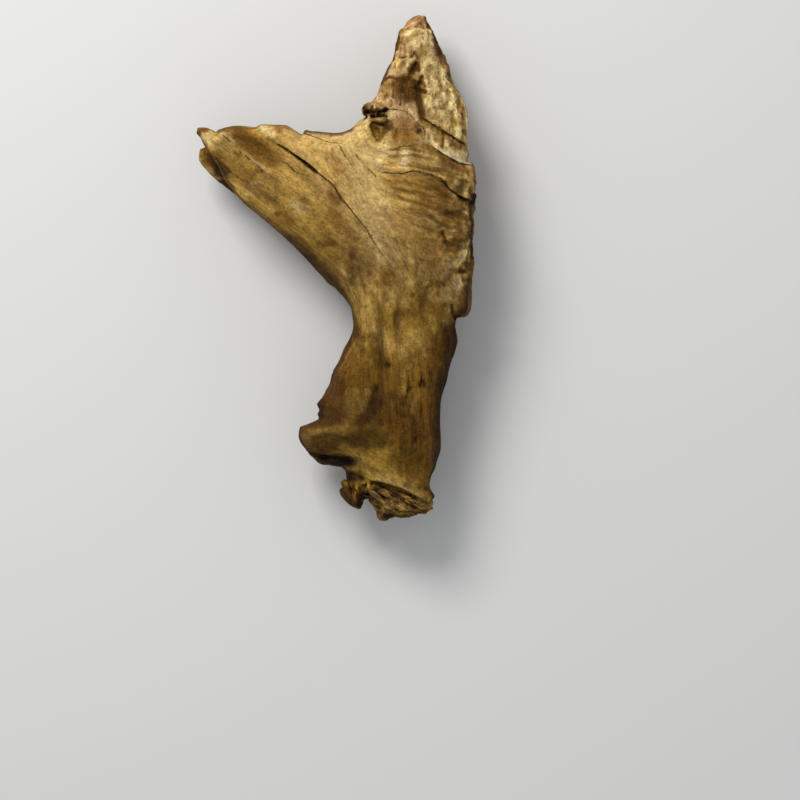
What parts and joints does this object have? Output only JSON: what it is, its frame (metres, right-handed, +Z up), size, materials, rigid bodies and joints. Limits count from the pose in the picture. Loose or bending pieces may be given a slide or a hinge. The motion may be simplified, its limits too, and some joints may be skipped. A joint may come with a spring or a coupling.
{
  "type": "mangrove driftwood piece",
  "caption": "Weathered piece of mangrove driftwood with a frayed root end, a trunk, a split side arm and a pale pointed blade, for aquariums and terrariums.",
  "frame": {"origin": "centre of the piece's box, at the level of the surface it rests on", "axes": "+Z up from the surface, out of the piece's front; +Y along its length from the frayed root end to the blade's tip; +X to the right seen from above, away from the side arm"},
  "size_m": [0.0865, 0.1567, 0.0372],
  "materials": {
    "weathered_wood": "dry weathered bare wood, matt, with ridges and open cracks along the grain"
  },
  "bodies": {
    "root": {"mangrove_wood": "weathered_wood"}
  },
  "joints": []
}
